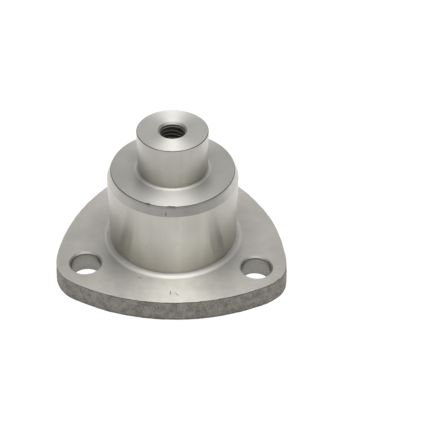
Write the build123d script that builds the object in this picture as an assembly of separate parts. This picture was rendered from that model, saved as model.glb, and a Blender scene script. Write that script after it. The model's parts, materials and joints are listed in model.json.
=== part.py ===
"""Front axle pivot pin: a three-bolt flange and two turned journals in one piece of steel.

The pin stands on the underside of its flange, with its axis upright. The flange is a
three-lobed plate with one bolt hole in each lobe. A wide journal rises from its middle, with a
long lead-in at its top, and a slimmer end journal stands on that. Grease goes in at the tapped
port in the free end, runs down a drilling on the axis and comes out on the rear of the wide
journal.

Frame: origin on the axis at the flange's underside, +Z towards the free end, and +Y through
the lobe at the rear. Lengths are in millimetres.
"""
from build123d import *
from math import atan2, cos, degrees, radians, sin, sqrt, tan
import os

# Flange: three lobes about the bolt holes, joined by long shallow sides
flange_thickness = 8.1
bolt_circle_d = 71.0
bolt_hole_d = 11.1
bolt_hole_chamfer = 0.5
bolt_count = 3
lobe_margin = 10.2          # from a bolt hole's centre to the tip of its lobe
lobe_radius = 13.8
side_radius = 69.0
under_edge_radius = 0.3     # rounding of the lower edge, all round

# Wide journal, which carries the axle's bush
boss_d = 46.8
boss_length = 30.5          # from the flange's seat to the shoulder
boss_root_fillet = 2.5
lead_in_length = 3.5
lead_in_angle = 20.0        # to the axis, in degrees

# End journal
pin_d = 25.0
pin_length = 16.2           # from the shoulder to the free end
pin_root_fillet = 1.2
pin_edge_break = 0.25

# Tapped grease port in the free end, for an M10 thread
port_minor_d = 8.4
port_mouth_d = 9.8
port_depth = 13.0

# Grease drillings: down the axis, then out to the rear of the wide journal
passage_d = 5.0
outlet_d = 4.0
outlet_edge_break = 0.3
outlet_height = 14.0        # above the flange's seat
drill_point_angle = 118.0   # included by a twist drill's point

# Heights above the underside, and radii, that follow from the sizes above
seat_z = flange_thickness
shoulder_z = seat_z + boss_length
end_z = shoulder_z + pin_length
outlet_z = seat_z + outlet_height
boss_r = boss_d / 2
pin_r = pin_d / 2
shoulder_r = boss_r - lead_in_length * tan(radians(lead_in_angle))
lobe_tip_r = bolt_circle_d / 2 + lobe_margin

# The angle from one lobe to the next, and the angle of the lobe at the rear, in degrees
lobe_step = 360 / bolt_count
rear = 90


def on_ray(radius, angle):
    """The point at this radius from the axis, on the ray at this angle in degrees."""
    return Vector(radius * cos(radians(angle)), radius * sin(radians(angle)))


def flange_outline():
    """The flange's face: lobe arcs and side arcs in turn, each tangent to the next.

    A side arc's centre lies beyond the axis from its side, as far as makes the side touch the
    arcs of its two lobes. They meet where the line through both centres comes out.
    """
    half = radians(lobe_step / 2)
    lobe_centre_r = lobe_tip_r - lobe_radius
    across = lobe_centre_r * sin(half)
    along = lobe_centre_r * cos(half)
    side_centre_r = sqrt((side_radius - lobe_radius) ** 2 - across**2) - along
    mid_side_r = side_radius - side_centre_r
    spread = degrees(
        atan2(side_centre_r * sin(half), lobe_centre_r + side_centre_r * cos(half))
    )

    arcs = []
    for lobe in range(bolt_count):
        angle = rear + lobe * lobe_step
        centre = on_ray(lobe_centre_r, angle)
        next_centre = on_ray(lobe_centre_r, angle + lobe_step)
        lobe_start = centre + on_ray(lobe_radius, angle - spread)
        lobe_end = centre + on_ray(lobe_radius, angle + spread)
        next_start = next_centre + on_ray(lobe_radius, angle + lobe_step - spread)
        mid_side = on_ray(mid_side_r, angle + lobe_step / 2)
        arcs.append(ThreePointArc(lobe_start, on_ray(lobe_tip_r, angle), lobe_end))
        arcs.append(ThreePointArc(lobe_end, mid_side, next_start))
    return make_face(arcs)


def flange_plate():
    """The flange with its lower edge rounded, before anything is drilled."""
    plate = extrude(flange_outline(), flange_thickness)
    return fillet(plate.edges().group_by(Axis.Z)[0], under_edge_radius)


def turned(*points):
    """The solid that this half section makes when it is turned about the axis."""
    section = Polyline(*[(radius, 0, height) for radius, height in points], close=True)
    return revolve(make_face(section), Axis.Z)


def journals():
    """Both journals as turned, from the underside up, with sharp roots."""
    return turned(
        (0, 0),
        (boss_r, 0),
        (boss_r, shoulder_z - lead_in_length),
        (shoulder_r, shoulder_z),
        (pin_r, shoulder_z),
        (pin_r, end_z - pin_edge_break),
        (pin_r - pin_edge_break, end_z),
        (0, end_z),
    )


def rims(body, radius, height):
    """The body's round edges of this radius at this height."""
    level = body.edges().filter_by(GeomType.CIRCLE).filter_by_position(Axis.Z, height, height)
    return level.filter_by(lambda edge: abs(edge.radius - radius) < 0.001)


def with_root_fillets(body):
    """The body with each journal blended into the face that it rises from."""
    body = fillet(rims(body, boss_r, seat_z), boss_root_fillet)
    return fillet(rims(body, pin_r, shoulder_z), pin_root_fillet)


def drilled(diameter, depth):
    """A twist drill's cut, with its mouth at the origin and its point below it."""
    radius = diameter / 2
    point = radius / tan(radians(drill_point_angle / 2))
    return turned((0, 0), (radius, 0), (radius, -depth), (0, -depth - point))


def countersunk(diameter, mouth_diameter):
    """A countersink's cut at 45 degrees, with its wide mouth at the origin."""
    radius = diameter / 2
    mouth = mouth_diameter / 2
    return turned((0, 0), (mouth, 0), (radius, radius - mouth), (0, radius - mouth))


def bolt_holes():
    """The cuts of the holes through the lobes, each with a chamfered mouth on the seat."""
    hole = Cylinder(bolt_hole_d / 2, flange_thickness * 3)
    mouth = countersunk(bolt_hole_d, bolt_hole_d + 2 * bolt_hole_chamfer)
    cut = hole + mouth
    ring = [on_ray(bolt_circle_d / 2, rear + lobe * lobe_step) for lobe in range(bolt_count)]
    return [Pos(place.X, place.Y, seat_z) * cut for place in ring]


def grease_way():
    """The cuts of the tapped port, the drilling on the axis and the outlet to the rear."""
    port = drilled(port_minor_d, port_depth) + countersunk(port_minor_d, port_mouth_d)
    passage = drilled(passage_d, end_z - outlet_z)
    outlet = drilled(outlet_d, boss_r) + countersunk(outlet_d, outlet_d + 2 * outlet_edge_break)
    from_rear = Pos(0, boss_r, outlet_z) * Rot(-90, 0, 0)
    return [Pos(0, 0, end_z) * port, Pos(0, 0, end_z) * passage, from_rear * outlet]


def pivot_pin():
    """The finished pin, one solid."""
    body = with_root_fillets(flange_plate() + journals())
    for cut in bolt_holes() + grease_way():
        body -= cut
    return body


os.makedirs("parts", exist_ok=True)
export_step(pivot_pin(), "parts/pivot_pin.step")
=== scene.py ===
"""Front axle pivot pin, finished: turned journals and faces, a raw edge round the flange,
drilled bolt holes, a tapped grease port, and small marks on the steel.

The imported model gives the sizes. What it does not carry is named below, in millimetres.
"""
import json
from math import atan2, cos, hypot, pi, radians, sin, sqrt, tan

import bpy
from mathutils import Matrix, Vector

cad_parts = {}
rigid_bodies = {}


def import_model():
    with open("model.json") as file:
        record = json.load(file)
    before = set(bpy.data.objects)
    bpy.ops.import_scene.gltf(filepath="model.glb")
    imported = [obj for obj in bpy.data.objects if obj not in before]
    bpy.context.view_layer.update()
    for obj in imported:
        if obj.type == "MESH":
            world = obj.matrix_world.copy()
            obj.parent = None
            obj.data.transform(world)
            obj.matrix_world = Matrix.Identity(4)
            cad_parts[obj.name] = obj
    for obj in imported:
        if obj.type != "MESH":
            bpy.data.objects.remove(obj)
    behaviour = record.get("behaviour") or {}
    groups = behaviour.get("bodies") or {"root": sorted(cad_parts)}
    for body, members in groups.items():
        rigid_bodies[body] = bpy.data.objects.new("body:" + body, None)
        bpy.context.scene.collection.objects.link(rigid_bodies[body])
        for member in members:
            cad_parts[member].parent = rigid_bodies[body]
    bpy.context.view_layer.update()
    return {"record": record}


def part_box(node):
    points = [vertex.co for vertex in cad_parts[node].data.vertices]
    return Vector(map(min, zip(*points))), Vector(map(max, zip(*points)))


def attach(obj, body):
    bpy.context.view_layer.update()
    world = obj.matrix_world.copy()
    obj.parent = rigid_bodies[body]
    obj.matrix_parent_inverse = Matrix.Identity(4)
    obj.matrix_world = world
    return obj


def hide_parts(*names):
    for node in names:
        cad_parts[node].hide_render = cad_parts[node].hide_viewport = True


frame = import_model()

MM = 0.001

# Sizes that the frame gives
MOUNTS = {mount["name"]: mount for mount in frame["record"]["mounts"]}
NODE_LOW, NODE_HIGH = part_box("pivot_pin")
END_Z = NODE_HIGH[2]
LOBE_TIP_R = NODE_HIGH[1]
SEAT_Z = MOUNTS["bolts"]["pos_m"][2]
BOLT_CIRCLE_R = MOUNTS["bolts"]["dims"]["pcd_mm"] / 2 * MM
BOLT_COUNT = MOUNTS["bolts"]["dims"]["count"]
HOLE_R = MOUNTS["bolts"]["dims"]["hole_r_mm"] * MM
BOSS_R = MOUNTS["wide_journal"]["dims"]["r_mm"] * MM
PIN_R = MOUNTS["end_journal"]["dims"]["r_mm"] * MM
PORT_R = MOUNTS["grease_port"]["dims"]["r_mm"] * MM


def span(name):
    """The heights at which a round mount's wall starts and ends."""
    middle = MOUNTS[name]["pos_m"][2]
    half = MOUNTS[name]["dims"]["length_mm"] / 2 * MM
    return middle - half, middle + half


BOSS_WALL = span("wide_journal")
PIN_WALL = span("end_journal")
PORT_WALL = span("grease_port")

# Sizes that it does not give
LOBE_RADIUS = 13.8 * MM
SIDE_RADIUS = 69.0 * MM
HOLE_CHAMFER = 0.5 * MM
LEAD_IN_ANGLE = radians(20)
PIN_ROOT_FILLET = 1.2 * MM
OUTLET_R = 2.0 * MM
OUTLET_EDGE = 0.3 * MM
OUTLET_Z = SEAT_Z + 14.0 * MM
PASSAGE_R = 2.5 * MM
DRILL_POINT = radians(59)          # half of the angle that a drill's point includes
EDGE_BREAK = 0.2 * MM              # on the shoulder's and the free end's outer edges
UNDER_EDGE = 0.15 * MM
RIM_PROUD = 0.3 * MM               # how far the raw side's foot stands out from the true outline
RIM_TAPER = 0.28 * MM              # how far it comes back in on its way up to the seat
ROLLED_IN = 0.5 * MM               # how far its upper edge is rolled in at the right of the front
ROLL_WAY = Vector((-0.35, 0.94, 0))  # inwards, and a little to the left
BULGE_OUT = 0.36 * MM              # how far the side stands out at the far right
REAR_LEAN = 0.45 * MM              # how far the outline's rear lobe lies to the left
BOSS_ROOT_CURVE = 2.5 * MM
PIN_ROOT_CURVE = 1.3 * MM
ROOT_LIFT = radians(35)            # each root's curve leaves its ground wall at this angle
PORT_MOUTH_R = 5.15 * MM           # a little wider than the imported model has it
PORT_RELIEF_R = 4.5 * MM           # the plain bore between the mouth and the thread
PORT_RELIEF = 1.4 * MM             # how far below the free end that bore goes
THREAD_PITCH = 1.5 * MM
THREAD_DEPTH = 0.3 * MM
THREAD_LENGTH = 11.0 * MM
THREAD_OVERLAP = 0.25 * MM         # how far inside the bore the tap's groove starts
THREAD_GAP = 0.3 * MM              # between the plain bore and the thread's last turn
THREAD_FLANK = radians(30)

# Heights and radii that follow
BOSS_ROOT_R = BOSS_R + BOSS_ROOT_CURVE * cos(ROOT_LIFT)
PIN_ROOT_R = PIN_R + PIN_ROOT_CURVE * cos(ROOT_LIFT)
SHOULDER_Z = PIN_WALL[0] - PIN_ROOT_FILLET
SHOULDER_R = BOSS_R - (SHOULDER_Z - BOSS_WALL[1]) * tan(LEAD_IN_ANGLE)
THREAD_TOP = END_Z - PORT_RELIEF - THREAD_GAP
THREAD_HALF_GROOVE = THREAD_PITCH * 3 / 8
COUNTERSINK_Z = END_Z - (PORT_MOUTH_R - PORT_RELIEF_R)
REAR = pi / 2
UP = (0, 0, 1)
ALONG = (0, 1, 0)
LOBE_STEP = 2 * pi / BOLT_COUNT

# How finely the pin is cut into faces
TURNED_STEPS = 384
HOLE_STEPS = 96
FILLET_STEPS = 12
EDGE_SPACING = 0.35 * MM
WALL_SPACING = 1.2 * MM
WELD = 0.001 * MM
ON_WALL = 0.01 * MM                # how near its radius the middle of a ground wall's face lies
FLAT_OVER = 0.9                    # a face is flat if its normal rises by more than this
SMOOTH_UNDER = radians(25)
EASE_STEPS = 5

# The blank's unevenness: the size of its clouds, their depth and how finely they are broken up
BLANK_WAVES = (9 * MM, 0.3 * MM, 1)
BLANK_SCALE = (1.3 * MM, 0.2 * MM, 3)

# Nicks in the shoulder's edge: how far each reaches, how deep it is, and where they lie round
# the edge, in degrees from +X
NICK_REACH = 0.25 * MM
NICK_DEPTH = 0.07 * MM
NICK_ANGLES = (-110.6, -108.7, -90.9, -88.8, -86.5)

# The studio
FLOOR_SIZE = 3.0
FLOOR_WHITE = 0.96                 # how white the floor looks to the camera
FLOOR_PAINTED_GLEAM = (0.05, 0.8)          # painted light: how much of that white the steel sees, in front and behind
FLOOR_LIT = 0.8                    # the paper's own grey, by which it lights the pin
FLOOR_TRACE = 0.08                 # the dark grey, under the white, that shows the shadow
CAMERA_PLACE = Vector((16.335, -305.875, 269.853)) * MM
CAMERA_AIM = Vector((15.388, -7.524, 23.525)) * MM
CAMERA_ROLL = radians(1.3747)
CAMERA_LENS = 90.44                # millimetres, as is the sensor's width
CAMERA_SENSOR = 36.0
CAMERA_NEAR = 10 * MM
SKY_ALL_ROUND = 0.12

# The soft light: azimuth, elevation, tightness and strength of each bright patch of sky.
# Azimuth 0 is the camera's side, and 90 is the right.
SKY = {
    "overhead": (0, 90, 9, 3.9),
    "overhead middle": (0, 90, 40, 0.8),
    "front right": (45, 35, 12, 0.11),
    "front low": (0, 8, 12, 0.15),
    "left front": (315, 8, 20, 0.17),
    "left": (285, 10, 30, 0.28),
    "left back": (235, 10, 16, 0.2),
    "right back": (125, 10, 16, 0.3),
    "back wall": (180, 15, 8, 0.5),
    "back high": (180, 45, 12, 0.5),
}


def only(piece):
    """Makes this the one selected object, and the active one."""
    bpy.ops.object.select_all(action="DESELECT")
    piece.select_set(True)
    bpy.context.view_layer.objects.active = piece


def open_for_edit(piece, kind="VERT"):
    """Opens the piece for editing with nothing selected."""
    only(piece)
    bpy.ops.object.mode_set(mode="EDIT")
    bpy.ops.mesh.select_mode(type=kind)
    bpy.ops.mesh.select_all(action="DESELECT")


def close_edit():
    bpy.ops.object.mode_set(mode="OBJECT")


def empty_mesh(name):
    """A mesh object at the origin with nothing in it yet."""
    bpy.ops.object.select_all(action="DESELECT")
    bpy.ops.mesh.primitive_plane_add(size=MM)
    piece = bpy.context.object
    piece.name = name
    piece.data.name = name
    bpy.ops.object.mode_set(mode="EDIT")
    bpy.ops.mesh.select_all(action="SELECT")
    bpy.ops.mesh.delete(type="VERT")
    close_edit()
    return piece


def modify(piece, kind, **settings):
    """Adds a modifier with these settings and applies it."""
    only(piece)
    change = piece.modifiers.new(kind.title(), kind)
    for name, value in settings.items():
        setattr(change, name, value)
    bpy.ops.object.modifier_apply(modifier=change.name)


def pick(piece, kind, wanted):
    """Selects the vertices or edges of an open piece that lie where they are wanted."""
    bpy.ops.mesh.select_all(action="DESELECT")
    close_edit()
    mesh = piece.data
    points = mesh.vertices
    if kind == "VERT":
        for point in points:
            point.select = wanted(point.co)
    else:
        for edge in mesh.edges:
            edge.select = all(wanted(points[i].co) for i in edge.vertices)
    bpy.ops.object.mode_set(mode="EDIT")


class Pen:
    """Draws a section in an open mesh from one vertex, by extruding and spinning its end."""

    def __init__(self, start):
        bpy.ops.mesh.select_all(action="DESELECT")
        bpy.ops.mesh.primitive_plane_add(size=MM, location=start)
        bpy.ops.mesh.merge(type="CENTER")
        self.end = Vector(start)

    def line(self, to, spacing=None):
        """A straight run, in steps of about the spacing."""
        way = Vector(to) - self.end
        steps = max(1, round(way.length / spacing)) if spacing else 1
        for _ in range(steps):
            move = {"value": way / steps}
            bpy.ops.mesh.extrude_vertices_move(TRANSFORM_OT_translate=move)
        self.end = Vector(to)

    def arc(self, centre, angle, axis, steps):
        """An arc about the centre, turning by the right-hand rule about the axis."""
        bpy.ops.mesh.spin(steps=steps, angle=-angle, center=centre, axis=axis)
        self.end = Vector(centre) + Matrix.Rotation(angle, 3, axis) @ (self.end - Vector(centre))


def turned_round(section, steps):
    """Turns a section about the Z axis into a closed surface, as a lathe would."""
    modify(section, "SCREW", steps=steps, render_steps=steps, use_merge_vertices=True,
           merge_threshold=WELD)


def joined(body, *others):
    """Makes the other pieces part of the body's own mesh."""
    bpy.ops.object.select_all(action="DESELECT")
    for other in others:
        other.select_set(True)
    body.select_set(True)
    bpy.context.view_layer.objects.active = body
    bpy.ops.object.join()


def made_solid(piece):
    """Welds a piece's seams and turns its faces outwards."""
    open_for_edit(piece)
    bpy.ops.mesh.select_all(action="SELECT")
    bpy.ops.mesh.remove_doubles(threshold=WELD)
    bpy.ops.mesh.normals_make_consistent(inside=False)
    close_edit()


def on_ray(radius, angle, height=0.0):
    """The point at this radius from the axis, on the ray at this angle."""
    return Vector((radius * cos(angle), radius * sin(angle), height))


def drawn_outline():
    """Draws the flange's outline in an open mesh: lobe arcs and side arcs, each tangent."""
    lobe_radius = LOBE_RADIUS + RIM_PROUD
    side_radius = SIDE_RADIUS + RIM_PROUD
    half = LOBE_STEP / 2
    lobe_centre_r = LOBE_TIP_R - LOBE_RADIUS
    across = lobe_centre_r * sin(half)
    along = lobe_centre_r * cos(half)
    side_centre_r = sqrt((SIDE_RADIUS - LOBE_RADIUS) ** 2 - across**2) - along
    spread = atan2(side_centre_r * sin(half), lobe_centre_r + side_centre_r * cos(half))
    lobe_turn = 2 * spread
    side_turn = LOBE_STEP - lobe_turn

    pen = Pen(on_ray(lobe_centre_r, REAR) + on_ray(lobe_radius, REAR - spread))
    for lobe in range(BOLT_COUNT):
        angle = REAR + lobe * LOBE_STEP
        lobe_steps = round(lobe_radius * lobe_turn / EDGE_SPACING)
        side_steps = round(side_radius * side_turn / EDGE_SPACING)
        pen.arc(on_ray(lobe_centre_r, angle), lobe_turn, UP, lobe_steps)
        pen.arc(on_ray(-side_centre_r, angle + half), side_turn, UP, side_steps)
    bpy.ops.mesh.select_linked()
    bpy.ops.mesh.remove_doubles(threshold=WELD)


def roughened(piece, name, size, strength, depth):
    """Pushes the piece's faces in and out by a cloudy pattern of this size."""
    pattern = bpy.data.textures.new(name, "CLOUDS")
    pattern.noise_scale = size
    pattern.noise_depth = depth
    modify(piece, "DISPLACE", texture=pattern, strength=strength, mid_level=0.5)


def eased(piece, move, wanted):
    """Moves a patch of the piece in equal steps, each over less of it, so that the move fades.

    The rule says which points are moved, from a point and the share of the steps already made.
    """
    for step in range(EASE_STEPS):
        share = step / EASE_STEPS
        open_for_edit(piece)
        pick(piece, "VERT", lambda point: wanted(point, share))
        bpy.ops.transform.translate(value=move / EASE_STEPS)
        close_edit()


def front_right_top(point, share):
    """The upper part of the side at the right of the front, less of it as the share grows."""
    return (point.z > SEAT_Z * (0.15 + 0.7 * share)
            and point.x > LOBE_TIP_R * 0.7 * (share - 0.05)
            and point.y < -BOSS_R)


def far_right(point, share):
    """The side at the far right below the seat, less of it as the share grows."""
    return (point.z < SEAT_Z * (0.98 - 0.25 * share)
            and point.x > LOBE_TIP_R * (0.83 + 0.05 * share))


def rear_part(point, share):
    """The rear of the outline, less of it as the share grows."""
    return point.y > LOBE_TIP_R * (0.15 + 0.5 * share)


def raw_rim():
    """The flange's side as an open strip, uneven as the blank was left, up to the seat."""
    rim = empty_mesh("pin_body")
    open_for_edit(rim)
    drawn_outline()
    bpy.ops.mesh.select_mode(type="EDGE")
    rows = round(SEAT_Z / EDGE_SPACING)
    lowest_row = UNDER_EDGE * 0.3
    heights = [lowest_row, UNDER_EDGE]
    heights += [UNDER_EDGE + (SEAT_Z - UNDER_EDGE) * row / rows for row in range(1, rows + 1)]
    done = 0
    for height in heights:
        move = {"value": (0, 0, height - done)}
        bpy.ops.mesh.extrude_edges_move(TRANSFORM_OT_translate=move)
        share = 1 - RIM_TAPER / LOBE_TIP_R * (height - done) / SEAT_Z
        bpy.ops.transform.resize(value=(share, share, 1), center_override=(0, 0, 0))
        done = height
    close_edit()

    roughened(rim, "blank_waves", *BLANK_WAVES)
    roughened(rim, "blank_scale", *BLANK_SCALE)

    eased(rim, ROLL_WAY * ROLLED_IN, front_right_top)
    eased(rim, Vector((BULGE_OUT, 0, 0)), far_right)
    eased(rim, Vector((-REAR_LEAN, 0, 0)), rear_part)

    # the lowest and highest rows are made level, and the two lowest are drawn in
    for height, draw_in in ((0, UNDER_EDGE), (lowest_row, lowest_row), (SEAT_Z, 0)):
        open_for_edit(rim)
        pick(rim, "VERT", lambda point: abs(point.z - height) < lowest_row / 3)
        share = 1 - draw_in / (LOBE_TIP_R - LOBE_RADIUS / 2)
        bpy.ops.transform.resize(value=(share, share, 0), center_override=(0, 0, height))
        close_edit()
    return rim


def bolt_hole_walls():
    """The wall and chamfered mouth of each hole, modelled once and copied round."""
    wall = empty_mesh("bolt_hole_wall")
    open_for_edit(wall)
    pen = Pen((HOLE_R + HOLE_CHAMFER, 0, SEAT_Z))
    pen.line((HOLE_R, 0, SEAT_Z - HOLE_CHAMFER))
    pen.line((HOLE_R, 0, 0), WALL_SPACING)
    close_edit()
    turned_round(wall, HOLE_STEPS)
    walls = [wall]
    for _ in range(1, BOLT_COUNT):
        only(wall)
        bpy.ops.object.duplicate()
        walls.append(bpy.context.object)
    for lobe, piece in enumerate(walls):
        open_for_edit(piece)
        bpy.ops.mesh.select_all(action="SELECT")
        bpy.ops.transform.translate(value=on_ray(BOLT_CIRCLE_R, REAR + lobe * LOBE_STEP))
        close_edit()
    return walls


def journals():
    """Both journals, the faces between them, the port and the drilling on the axis."""
    turned = empty_mesh("journals")
    open_for_edit(turned)
    pen = Pen((BOSS_ROOT_R, 0, SEAT_Z))
    pen.arc((BOSS_ROOT_R, 0, SEAT_Z + BOSS_ROOT_CURVE), pi / 2 - ROOT_LIFT, ALONG, FILLET_STEPS)
    pen.line((BOSS_R, 0, BOSS_WALL[1]), WALL_SPACING)
    lead_in_z = SHOULDER_Z - EDGE_BREAK - EDGE_SPACING
    pen.line((SHOULDER_R + EDGE_SPACING * tan(LEAD_IN_ANGLE), 0, lead_in_z), WALL_SPACING)
    pen.line((SHOULDER_R, 0, SHOULDER_Z - EDGE_BREAK))
    pen.line((SHOULDER_R - EDGE_BREAK, 0, SHOULDER_Z))
    pen.line((SHOULDER_R - EDGE_BREAK - EDGE_SPACING, 0, SHOULDER_Z))
    pen.line((PIN_ROOT_R, 0, SHOULDER_Z), WALL_SPACING)
    pen.arc((PIN_ROOT_R, 0, SHOULDER_Z + PIN_ROOT_CURVE), pi / 2 - ROOT_LIFT, ALONG, FILLET_STEPS)
    pen.line((PIN_R, 0, END_Z - EDGE_BREAK), WALL_SPACING)
    pen.line((PIN_R - EDGE_BREAK, 0, END_Z))
    pen.line((PORT_MOUTH_R, 0, END_Z), WALL_SPACING)
    pen.line((PORT_RELIEF_R, 0, COUNTERSINK_Z))
    pen.line((PORT_RELIEF_R, 0, END_Z - PORT_RELIEF))
    pen.line((PORT_R, 0, END_Z - PORT_RELIEF - (PORT_RELIEF_R - PORT_R)))
    pen.line((PORT_R, 0, PORT_WALL[0]), WALL_SPACING)
    pen.line((PASSAGE_R, 0, PORT_WALL[0] - (PORT_R - PASSAGE_R) / tan(DRILL_POINT)))
    pen.line((PASSAGE_R, 0, OUTLET_Z))
    pen.line((0, 0, OUTLET_Z - PASSAGE_R / tan(DRILL_POINT)))
    close_edit()
    turned_round(turned, TURNED_STEPS)
    return turned


def add_flat_faces(body):
    """The seat and the underside, each filled between the outline and the rings inside it."""
    made_solid(body)
    for height in (SEAT_Z, 0):
        open_for_edit(body, "EDGE")
        pick(body, "EDGE", lambda point: abs(point.z - height) < WELD)
        bpy.ops.mesh.fill(use_beauty=True)
        close_edit()
    made_solid(body)


def cut_away(body, cutter):
    """Takes the cutter's space out of the body and throws the cutter away."""
    made_solid(cutter)
    modify(body, "BOOLEAN", object=cutter, operation="DIFFERENCE", solver="EXACT")
    bpy.data.objects.remove(cutter, do_unlink=True)


def outlet_drill():
    """A drill's space from outside the wide journal's rear to the axis, with an edge break."""
    cutter = empty_mesh("outlet_drill")
    open_for_edit(cutter)
    mouth = OUTLET_R + OUTLET_EDGE
    outside = BOSS_R + OUTLET_R
    pen = Pen((0, 0, 0))
    pen.line((OUTLET_R, 0, 0))
    pen.line((OUTLET_R, 0, BOSS_R - OUTLET_EDGE))
    pen.line((mouth, 0, BOSS_R))
    pen.line((mouth, 0, outside))
    pen.line((0, 0, outside))
    close_edit()
    turned_round(cutter, HOLE_STEPS)
    open_for_edit(cutter)
    bpy.ops.mesh.select_all(action="SELECT")
    towards_rear = {"orient_axis": "X", "center_override": (0, 0, 0)}
    bpy.ops.transform.rotate(value=pi / 2, **towards_rear)
    bpy.ops.transform.translate(value=(0, 0, OUTLET_Z))
    close_edit()
    return cutter


def thread_tap():
    """The groove that a tap cuts: one V section run along a helix, up to below the mouth."""
    cutter = empty_mesh("thread_tap")
    open_for_edit(cutter)
    inner = PORT_R - THREAD_OVERLAP
    outer = PORT_R + THREAD_DEPTH
    half_mouth = THREAD_HALF_GROOVE + THREAD_OVERLAP * tan(THREAD_FLANK)
    half_root = half_mouth - (outer - inner) * tan(THREAD_FLANK)
    turns = round(THREAD_LENGTH / THREAD_PITCH)
    bottom = THREAD_TOP - turns * THREAD_PITCH
    pen = Pen((inner, 0, bottom - half_mouth))
    pen.line((outer, 0, bottom - half_root))
    pen.line((outer, 0, bottom + half_root))
    pen.line((inner, 0, bottom + half_mouth))
    bpy.ops.mesh.select_linked()
    bpy.ops.mesh.edge_face_add()
    bpy.ops.mesh.delete(type="ONLY_FACE")
    close_edit()
    steps = HOLE_STEPS // 2
    modify(cutter, "SCREW", screw_offset=THREAD_PITCH, iterations=turns, steps=steps,
           render_steps=steps)
    open_for_edit(cutter)
    bpy.ops.mesh.select_all(action="SELECT")
    bpy.ops.mesh.fill_holes(sides=4)
    close_edit()
    return cutter


def nicked(body):
    """Small dents along the front of the shoulder's edge."""
    for angle in NICK_ANGLES:
        place = on_ray(SHOULDER_R - EDGE_BREAK / 2, radians(angle), SHOULDER_Z - EDGE_BREAK / 2)
        open_for_edit(body)
        pick(body, "VERT", lambda point: (point - place).length < NICK_REACH)
        inwards = on_ray(-NICK_DEPTH, radians(angle), -NICK_DEPTH)
        bpy.ops.transform.translate(value=inwards)
        close_edit()


def away_from_bolts(point):
    """How far a point is from the nearest bolt hole's axis."""
    gaps = []
    for lobe in range(BOLT_COUNT):
        hole = on_ray(BOLT_CIRCLE_R, REAR + lobe * LOBE_STEP)
        gaps.append(hypot(point.x - hole.x, point.y - hole.y))
    return min(gaps)


def finish_of(face):
    """Which finish a face of the pin has, from where it lies."""
    middle = face.center
    radius = hypot(middle.x, middle.y)
    if away_from_bolts(middle) < HOLE_R + HOLE_CHAMFER and abs(face.normal.z) < FLAT_OVER:
        return "drilled wall" if middle.z < SEAT_Z - HOLE_CHAMFER else "countersink"
    if WELD < middle.z < SEAT_Z - WELD and radius > BOSS_ROOT_R:
        return "raw edge"
    if middle.z < WELD:
        return "underside"
    if radius < PORT_R + THREAD_DEPTH + WELD and OUTLET_Z < middle.z < COUNTERSINK_Z:
        return "tapped wall"
    if radius < BOSS_R - ON_WALL and middle.z < OUTLET_Z + PASSAGE_R:
        return "drilled wall"
    for edge_z in (SHOULDER_Z, END_Z):
        if edge_z - EDGE_BREAK < middle.z < edge_z - WELD and radius > PORT_MOUTH_R:
            return "edge break"
    if COUNTERSINK_Z < middle.z < END_Z - WELD and radius < PORT_MOUTH_R:
        return "countersink"
    if radius < BOSS_ROOT_R and SEAT_Z + WELD < middle.z < SEAT_Z + BOSS_ROOT_CURVE:
        return "journal" if abs(radius - BOSS_R) < ON_WALL else "root curve"
    if radius < PIN_ROOT_R and SHOULDER_Z + WELD < middle.z < SHOULDER_Z + PIN_ROOT_CURVE:
        return "journal" if abs(radius - PIN_R) < ON_WALL else "root curve"
    if min(abs(radius - BOSS_R), abs(radius - PIN_R)) < ON_WALL:
        return "journal"
    if BOSS_WALL[1] < middle.z < SHOULDER_Z - WELD:
        return "journal"
    if middle.z > END_Z - WELD:
        return "end face"
    return "shoulder" if middle.z > SHOULDER_Z - WELD else "turned face"


def pin_body():
    """The whole pin as one closed mesh, with a finish on each of its faces."""
    body = raw_rim()
    joined(body, journals(), *bolt_hole_walls())
    add_flat_faces(body)
    cut_away(body, thread_tap())
    cut_away(body, outlet_drill())
    nicked(body)

    finishes = list(FINISHES)
    body.data.materials.clear()
    for name in finishes:
        body.data.materials.append(FINISHES[name])
    for face in body.data.polygons:
        face.material_index = finishes.index(finish_of(face))
    only(body)
    bpy.ops.object.shade_smooth_by_angle(angle=SMOOTH_UNDER)
    open_for_edit(body, "EDGE")
    pick(body, "EDGE", lambda point: abs(point.z - BOSS_WALL[1]) < WELD
         or abs(point.z - SHOULDER_Z + EDGE_BREAK) < WELD
         or (abs(hypot(point.x, point.y) - BOSS_R) < WELD and point.z < SEAT_Z + BOSS_ROOT_CURVE)
         or (abs(hypot(point.x, point.y) - PIN_R) < WELD and point.z < PIN_WALL[0]))
    bpy.ops.mesh.mark_sharp()
    close_edit()
    modify(body, "WEIGHTED_NORMAL", mode="FACE_AREA", keep_sharp=True, weight=90)
    return body


class Graph:
    """Short ways to add nodes to a node tree and to wire them."""

    def __init__(self, tree):
        self.nodes = tree.nodes
        self.links = tree.links

    def wire(self, value, socket):
        """Gives a socket its value, or wires another node's output into it."""
        if isinstance(value, bpy.types.NodeSocket):
            self.links.new(value, socket)
        else:
            socket.default_value = value

    def add(self, kind, inputs=None, **settings):
        """A node of this kind with these inputs."""
        node = self.nodes.new(kind)
        for name, value in settings.items():
            setattr(node, name, value)
        for socket, value in (inputs or {}).items():
            self.wire(value, node.inputs[socket])
        return node

    def math(self, operation, *values):
        inputs = dict(enumerate(values))
        return self.add("ShaderNodeMath", inputs, operation=operation).outputs[0]

    def vector(self, operation, output, *values):
        inputs = dict(enumerate(values))
        return self.add("ShaderNodeVectorMath", inputs, operation=operation).outputs[output]

    def total(self, operation, values):
        """All the values taken together, two at a time."""
        result = values[0]
        for value in values[1:]:
            result = self.math(operation, result, value)
        return result


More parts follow.
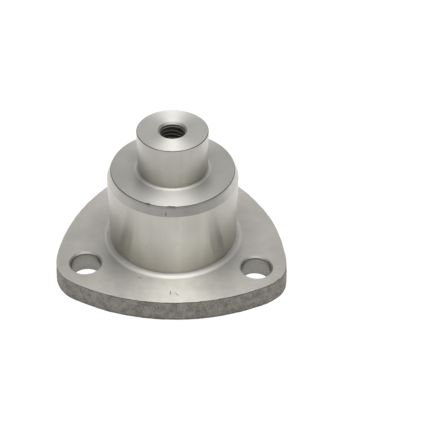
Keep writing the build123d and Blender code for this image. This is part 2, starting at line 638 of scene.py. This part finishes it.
class Finish(Graph):
    """A material with a Principled shader, and the patterns that the pin's finishes share."""

    def __init__(self, name, **values):
        self.material = bpy.data.materials.new(name)
        self.material.use_nodes = True
        super().__init__(self.material.node_tree)
        self.shader = self.nodes["Principled BSDF"]
        for socket, value in values.items():
            self.shader.inputs[socket.replace("_", " ")].default_value = value
        self.place = self.add("ShaderNodeTexCoord").outputs["Object"]

    def feed(self, socket, output):
        """Wires an output into the shader."""
        self.links.new(output, self.shader.inputs[socket])

    def noise(self, scale, detail=2.0, place=None, roughness=0.5):
        """Cloudy noise from 0 to 1, with about this many blotches to the metre."""
        inputs = {"Vector": place or self.place, "Scale": scale, "Detail": detail}
        inputs["Roughness"] = roughness
        return self.add("ShaderNodeTexNoise", inputs).outputs["Fac"]

    def rings(self, along, scale, detail=3.0):
        """Noise from 0 to 1 that changes only along one measure, as a tool's marks do."""
        inputs = {"W": along, "Scale": scale, "Detail": detail}
        return self.add("ShaderNodeTexNoise", inputs, noise_dimensions="1D").outputs["Fac"]

    def between(self, value, low, high, out_low=0.0, out_high=1.0):
        """The value remapped from low..high to out_low..out_high, and held there."""
        inputs = {"Value": value, "From Min": low, "From Max": high}
        inputs.update({"To Min": out_low, "To Max": out_high})
        return self.add("ShaderNodeMapRange", inputs).outputs["Result"]

    def blend(self, share, first, second):
        """The first colour, and the second where the share is 1."""
        mix = self.add("ShaderNodeMix", {0: share, 6: first, 7: second}, data_type="RGBA")
        return mix.outputs[2]

    def axis_distance(self):
        """The distance from the pin's axis, in metres."""
        return self.vector("LENGTH", "Value", self.vector("MULTIPLY", 0, self.place, (1, 1, 0)))

    def height(self):
        """The height above the underside, in metres."""
        return self.add("ShaderNodeSeparateXYZ", {"Vector": self.place}).outputs["Z"]

    def bump(self, height, depth, under=None):
        """Bumps the surface by a height from 0 to 1, as deep as this in metres."""
        inputs = {"Height": height, "Distance": depth, "Strength": 1.0}
        if under:
            inputs["Normal"] = under
        return self.add("ShaderNodeBump", inputs).outputs["Normal"]

    def scar(self, middle, turn, half_length, half_width):
        """1 inside a small mark that lies this way round on the surface, and 0 outside."""
        inputs = {"Vector": self.place, "Location": Vector(middle) * MM}
        inputs["Rotation"] = (0, 0, radians(turn))
        inputs["Scale"] = (half_length * MM, half_width * MM, max(half_length, half_width) * MM)
        local = self.add("ShaderNodeMapping", inputs, vector_type="TEXTURE").outputs[0]
        return self.between(self.vector("LENGTH", "Value", local), 0.55, 1.0, 1.0, 0.0)

    def scars(self, marks):
        """All the marks of a list together."""
        return self.total("MAXIMUM", [self.scar(*mark) for mark in marks])


def rgb(red, green, blue):
    return (red, green, blue, 1.0)


def grey(level):
    return rgb(level, level, level)


def on_seat(x, y):
    """A place on the flange's face, in millimetres."""
    return (x, y, SEAT_Z / MM)


# Tones from dark to light: the steel in each of its finishes, some with painted light or shade
# (the root curves, the edge breaks, the drilled walls), the raw skin and the thread
GROUND_STEEL = (rgb(0.545, 0.531, 0.482), rgb(0.68, 0.664, 0.609))
SEAT_STEEL = (rgb(0.575, 0.558, 0.508), rgb(0.69, 0.672, 0.619))
END_STEEL = (rgb(0.6, 0.593, 0.555), rgb(0.64, 0.633, 0.595))
SHOULDER_STEEL = (rgb(0.6, 0.59, 0.55), rgb(0.65, 0.64, 0.6))
# painted highlight: the root curves lighter than the rest of the steel, so that their crescent
# shines
ROOT_PAINTED_HIGHLIGHT_STEEL = (rgb(0.66, 0.65, 0.605), rgb(0.72, 0.71, 0.665))
# painted shade: the edge breaks nearly black, a dark line where the thin edges reflect dark
# surroundings
EDGE_PAINTED_SHADE = (rgb(0.14, 0.135, 0.12), rgb(0.22, 0.21, 0.19))
# darker than the turned steel: partly the drill's duller finish, partly painted shade inside the
# holes and bores
DRILLED_STEEL_AND_SHADE = (rgb(0.36, 0.35, 0.32), rgb(0.48, 0.465, 0.425))
CHAMFER_STEEL = (rgb(0.56, 0.55, 0.5), rgb(0.64, 0.625, 0.575))
# the dark of real marks, also used as painted shade on the journals' feet and in the bolt holes
MARK_AND_SHADE_DARK = rgb(0.1, 0.09, 0.08)
MARK_LIGHT = rgb(0.9, 0.88, 0.84)
SKIN = (rgb(0.19, 0.178, 0.157), rgb(0.4, 0.38, 0.34))
SKIN_SPECKS = rgb(0.54, 0.51, 0.46)
SKIN_SHADE = rgb(0.05, 0.045, 0.04)
THREAD_CREST = (rgb(0.05, 0.047, 0.041), rgb(0.085, 0.08, 0.07))
# painted light on the thread's roots, against their shadow
THREAD_ROOT_PAINTED_LIGHT = rgb(0.3, 0.286, 0.255)

# Patterns, in blotches or lines to the metre
FEED_LINES = 2600.0
BORE_LINES = 1800.0
STREAKS = 330.0
STREAK_STRETCH = (1, 1, 0.06)      # streaks run up the journals
CLOUDS = 55.0
SMUDGES = 160.0
BORE_CLOUDS = 300.0
THREAD_CLOUDS = 700.0
SKIN_BLOTCHES = 420.0
SKIN_GRAIN = 2600.0

# How deep the patterns and marks are
TURNED_GROOVES = 0.0006 * MM
GROUND_GROOVES = 0.0004 * MM
ROOT_GROOVES = 0.001 * MM
UNDERSIDE_GROOVES = 0.002 * MM
BORE_GROOVES = 0.003 * MM
MARK_DEPTH = 0.03 * MM
BLOTCH_DEPTH = 0.12 * MM
GRAIN_DEPTH = 0.05 * MM

# Small marks on the flange's face and on the journals: middle, turn, half length, half width
FACE_DARK_MARKS = (
    (on_seat(-10.7, -24.9), -22, 0.95, 0.3),
    (on_seat(0.53, -32.2), 90, 1.4, 0.22),
    (on_seat(2.8, -32.9), -54, 1.3, 0.22),
    (on_seat(38.9, -18.0), 20, 0.3, 0.2),
)
FACE_LIGHT_MARKS = (
    (on_seat(26.2, -30.3), 42, 1.5, 0.2),
    (on_seat(28.5, -28.6), 28, 1.6, 0.22),
)
JOURNAL_DARK_MARKS = (
    ((-1.25, -22.96, 36.24), 15, 0.3, 0.75),
)
JOURNAL_LIGHT_MARKS = (
    ((-2.94, -12.15, 46.8), 14, 0.3, 0.3),
    ((-1.95, -12.35, 46.2), 10, 0.35, 0.15),
)

# Painted shade on the journals' feet, darker near each root: the heights at which each is darkest
# and gone, and how dark it is
PAINTED_SHADE_FEET = (
    (SEAT_Z, SEAT_Z + 13 * MM, 0.24),
    (SHOULDER_Z, SHOULDER_Z + 18 * MM, 0.28),
)
# Rings of duller steel round the journals' feet: radius, width and how much rougher
SEAT_DULL_RING = (BOSS_ROOT_R, 8 * MM, 0.08)
SHOULDER_DULL_RING = (PIN_ROOT_R, 4 * MM, 0.05)
# Bands of painted shade at fixed heights: each bolt hole darkens towards its chamfer, and the raw
# side's top and foot are darker than its middle, as shade under its top edge and along its foot
HOLE_SHADE_TOP = (SEAT_Z - 1.6 * MM, SEAT_Z - HOLE_CHAMFER)
SKIN_SHADE_TOP = (SEAT_Z - 0.6 * MM, SEAT_Z - 0.2 * MM)
SKIN_SHADE_FOOT = (0.4 * MM, 1.2 * MM)


def machined(name, tones, groove_depth, roughness, anisotropy, dark_marks=(), light_marks=(),
             painted_shade_feet=(), dull_ring=None):
    """Steel off the lathe, whose rings spread its gloss across themselves."""
    steel = Finish(name, Metallic=1.0, Anisotropic=anisotropy, Anisotropic_Rotation=0.25)
    along_ring = steel.vector("NORMALIZE", 0, steel.vector("CROSS_PRODUCT", 0, UP, steel.place))
    steel.feed("Tangent", along_ring)
    feed = steel.rings(steel.math("ADD", steel.axis_distance(), steel.height()), FEED_LINES)

    drawn_up = steel.vector("MULTIPLY", 0, steel.place, STREAK_STRETCH)
    streaks = steel.between(steel.noise(STREAKS, 4.0, drawn_up, 0.65), 0.35, 0.65)
    clouds = steel.math("MULTIPLY", steel.between(steel.noise(CLOUDS, 3.0), 0.35, 0.65), 0.5)
    patches = steel.math("MULTIPLY_ADD", streaks, 0.5, clouds)
    colour = steel.blend(patches, *tones)
    # painted shade: each journal darker towards its foot, where it reflects darker steel
    for foot, top, darkness in painted_shade_feet:
        above = steel.between(steel.height(), foot, top, darkness, 0.0)
        below = steel.between(steel.height(), foot - WALL_SPACING, foot, 0.0, 1.0)
        colour = steel.blend(steel.math("MULTIPLY", above, below), colour, MARK_AND_SHADE_DARK)
    smudges = steel.between(steel.noise(SMUDGES, 4.0), 0.3, 0.7, -0.02, 0.02)
    gloss = steel.between(feed, 0.3, 0.7, roughness - 0.03, roughness)
    gloss = steel.math("ADD", gloss, smudges)
    gloss = steel.math("MULTIPLY_ADD", streaks, 0.03, gloss)
    if dull_ring:
        foot, width, rougher = dull_ring
        near = steel.between(steel.axis_distance(), foot, foot + width, rougher, 0.0)
        gloss = steel.math("ADD", gloss, near)
    relief = steel.bump(feed, groove_depth)
    if dark_marks:
        marks = steel.scars(dark_marks)
        colour = steel.blend(steel.math("MULTIPLY", marks, 0.6), colour, MARK_AND_SHADE_DARK)
        relief = steel.bump(steel.math("SUBTRACT", 1.0, marks), MARK_DEPTH, relief)
    if light_marks:
        marks = steel.scars(light_marks)
        colour = steel.blend(steel.math("MULTIPLY", marks, 0.7), colour, MARK_LIGHT)
        gloss = steel.math("ADD", gloss, steel.math("MULTIPLY", marks, 0.15))
    steel.feed("Base Color", colour)
    steel.feed("Roughness", gloss)
    steel.feed("Normal", relief)
    return steel.material


def raw_edge():
    """The blank's own skin: brown-grey scale, mottled and rough, with painted shade under its top
    edge and along its foot.
    """
    skin = Finish("raw_edge", Metallic=0.35)
    blotches = skin.noise(SKIN_BLOTCHES, 6.0, roughness=0.62)
    grain = skin.noise(SKIN_GRAIN, 3.0)
    base = skin.blend(skin.between(blotches, 0.36, 0.64), *SKIN)
    speckled = skin.blend(skin.between(grain, 0.5, 0.72), base, SKIN_SPECKS)
    height = skin.height()
    # painted shade: darker under the top edge and along the foot
    top = skin.between(height, *SKIN_SHADE_TOP, 1.0, 0.55)
    foot = skin.between(height, *SKIN_SHADE_FOOT, 0.72, 1.0)
    unshaded = skin.math("MULTIPLY", top, foot)
    skin.feed("Base Color", skin.blend(unshaded, SKIN_SHADE, speckled))
    skin.feed("Roughness", skin.between(blotches, 0.3, 0.7, 0.5, 0.72))
    skin.feed("Normal", skin.bump(grain, GRAIN_DEPTH, skin.bump(blotches, BLOTCH_DEPTH)))
    return skin.material


def bored(name, tones, roughness, anisotropy, shade_top=None):
    """What a drill or a countersink leaves: rings round an upright axis, wherever it stands."""
    wall = Finish(name, Metallic=1.0, Anisotropic=anisotropy, Anisotropic_Rotation=0.25)
    out = wall.add("ShaderNodeNewGeometry").outputs["Normal"]
    wall.feed("Tangent", wall.vector("NORMALIZE", 0, wall.vector("CROSS_PRODUCT", 0, UP, out)))
    rings = wall.rings(wall.height(), BORE_LINES)
    colour = wall.blend(wall.noise(BORE_CLOUDS, 3.0), *tones)
    if shade_top:
        # painted shade: the wall darker towards the top of the hole, under its chamfer
        darker = wall.between(wall.height(), *shade_top, 0.0, 0.75)
        colour = wall.blend(darker, colour, MARK_AND_SHADE_DARK)
    wall.feed("Base Color", colour)
    wall.feed("Roughness", wall.between(rings, 0.3, 0.7, roughness - 0.04, roughness + 0.04))
    wall.feed("Normal", wall.bump(rings, BORE_GROOVES))
    return wall.material


def tapped_wall():
    """The port's thread: very dark crests, and roots painted lighter, as painted light against
    the grooves' shadow, so that they show as faint ridges.
    """
    wall = Finish("tapped_wall", Metallic=0.5, Roughness=0.65)
    crest = wall.blend(wall.noise(THREAD_CLOUDS, 3.0), *THREAD_CREST)
    # painted light: lighter towards the groove's root, against its shadow
    inwards = wall.between(wall.axis_distance(), PORT_R, PORT_R + THREAD_DEPTH)
    wall.feed("Base Color", wall.blend(inwards, crest, THREAD_ROOT_PAINTED_LIGHT))
    return wall.material


FINISHES = {
    "turned face": machined("turned_face", SEAT_STEEL, TURNED_GROOVES, roughness=0.32,
                            anisotropy=1.0, dark_marks=FACE_DARK_MARKS,
                            light_marks=FACE_LIGHT_MARKS, dull_ring=SEAT_DULL_RING),
    "journal": machined("journal", GROUND_STEEL, GROUND_GROOVES, roughness=0.24,
                        anisotropy=0.95, dark_marks=JOURNAL_DARK_MARKS,
                        light_marks=JOURNAL_LIGHT_MARKS, painted_shade_feet=PAINTED_SHADE_FEET),
    "end face": machined("end_face", END_STEEL, TURNED_GROOVES, roughness=0.31, anisotropy=1.0),
    "shoulder": machined("shoulder", SHOULDER_STEEL, TURNED_GROOVES, roughness=0.37,
                         anisotropy=1.0, dull_ring=SHOULDER_DULL_RING),
    "raw edge": raw_edge(),
    # the drilled walls' darker tone is partly painted shade of the holes
    "drilled wall": bored("drilled_wall", DRILLED_STEEL_AND_SHADE, roughness=0.26, anisotropy=0.85,
                          shade_top=HOLE_SHADE_TOP),
    "countersink": bored("countersink", CHAMFER_STEEL, roughness=0.46, anisotropy=0.6),
    "tapped wall": tapped_wall(),
    "underside": machined("underside", GROUND_STEEL, UNDERSIDE_GROOVES, roughness=0.36,
                          anisotropy=0.8),
    # the edge breaks carry painted shade, a dark line along the edges
    "edge break": machined("edge_break", EDGE_PAINTED_SHADE, GROUND_GROOVES, roughness=0.3,
                           anisotropy=0.6),
    # the root curves carry a painted highlight, lighter steel
    "root curve": machined("root_curve", ROOT_PAINTED_HIGHLIGHT_STEEL, ROOT_GROOVES, roughness=0.44,
                           anisotropy=0.85),
}

pin = pin_body()
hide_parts("pivot_pin")
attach(pin, "root")


def studio_floor():
    """A wide pale floor that looks white and keeps a trace of the pin's shadow; to the steel it
    shows a painted glow, dim in front and bright behind.
    """
    bpy.ops.object.select_all(action="DESELECT")
    bpy.ops.mesh.primitive_plane_add(size=FLOOR_SIZE)
    floor = bpy.context.object
    floor.name = "studio_floor"
    paper = bpy.data.materials.new("studio_paper")
    paper.use_nodes = True
    graph = Graph(paper.node_tree)
    graph.nodes.clear()
    rays = graph.add("ShaderNodeLightPath").outputs
    place = graph.add("ShaderNodeTexCoord").outputs["Object"]
    depth = graph.add("ShaderNodeSeparateXYZ", {"Vector": place}).outputs["Y"]
    # painted light: the glow that the steel sees is dim in front and bright behind
    reach = {"Value": depth, "From Min": -BOSS_R, "From Max": BOLT_CIRCLE_R}
    reach.update({"To Min": FLOOR_PAINTED_GLEAM[0], "To Max": FLOOR_PAINTED_GLEAM[1]})
    gleam = graph.add("ShaderNodeMapRange", reach).outputs["Result"]
    gleam = graph.math("MULTIPLY", rays["Is Glossy Ray"], gleam)
    seen = graph.total("MAXIMUM", [rays["Is Camera Ray"], rays["Is Transmission Ray"], gleam])
    lit = graph.add("ShaderNodeBsdfDiffuse", {"Color": grey(FLOOR_LIT)}).outputs[0]
    trace = graph.add("ShaderNodeBsdfDiffuse", {"Color": grey(FLOOR_TRACE)}).outputs[0]
    glow = graph.add("ShaderNodeEmission", {"Strength": FLOOR_WHITE}).outputs[0]
    shown = graph.add("ShaderNodeAddShader", {0: trace, 1: glow}).outputs[0]
    mixed = graph.add("ShaderNodeMixShader", {0: seen, 1: lit, 2: shown}).outputs[0]
    graph.add("ShaderNodeOutputMaterial", {"Surface": mixed})
    floor.data.materials.append(paper)


def studio_camera():
    """The photograph's view: where the camera stands, what it faces, and its slight roll."""
    camera = bpy.data.objects.new("camera", bpy.data.cameras.new("camera"))
    bpy.context.scene.collection.objects.link(camera)
    camera.data.lens = CAMERA_LENS
    camera.data.sensor_width = CAMERA_SENSOR
    camera.data.clip_start = CAMERA_NEAR
    camera.location = CAMERA_PLACE
    look = (CAMERA_AIM - CAMERA_PLACE).to_track_quat("-Z", "Y")
    roll = Matrix.Rotation(CAMERA_ROLL, 4, "Z")
    camera.rotation_euler = (look.to_matrix().to_4x4() @ roll).to_euler()
    bpy.context.scene.camera = camera


def studio_sky():
    """A smooth sky, brighter in patches as softboxes make it, and white to the camera."""
    world = bpy.data.worlds.new("studio")
    world.use_nodes = True
    graph = Graph(world.node_tree)
    graph.nodes.clear()
    way = graph.add("ShaderNodeTexCoord").outputs["Generated"]
    patches = [SKY_ALL_ROUND]
    for azimuth, elevation, tightness, strength in SKY.values():
        turn, rise = radians(azimuth), radians(elevation)
        centre = (sin(turn) * cos(rise), -cos(turn) * cos(rise), sin(rise))
        near = graph.math("MAXIMUM", graph.vector("DOT_PRODUCT", "Value", way, centre), 0.0)
        patches.append(graph.math("MULTIPLY", graph.math("POWER", near, tightness), strength))
    soft = {"Color": grey(1), "Strength": graph.total("ADD", patches)}
    light = graph.add("ShaderNodeBackground", soft).outputs[0]
    white = graph.add("ShaderNodeBackground", {"Color": grey(1), "Strength": 1.0}).outputs[0]
    rays = graph.add("ShaderNodeLightPath").outputs
    seen = graph.math("MAXIMUM", rays["Is Camera Ray"], rays["Is Transmission Ray"])
    mixed = graph.add("ShaderNodeMixShader", {0: seen, 1: light, 2: white}).outputs[0]
    graph.add("ShaderNodeOutputWorld", {"Surface": mixed})
    bpy.context.scene.world = world


studio_floor()
studio_camera()
studio_sky()
bpy.context.scene.view_settings.view_transform = "Standard"
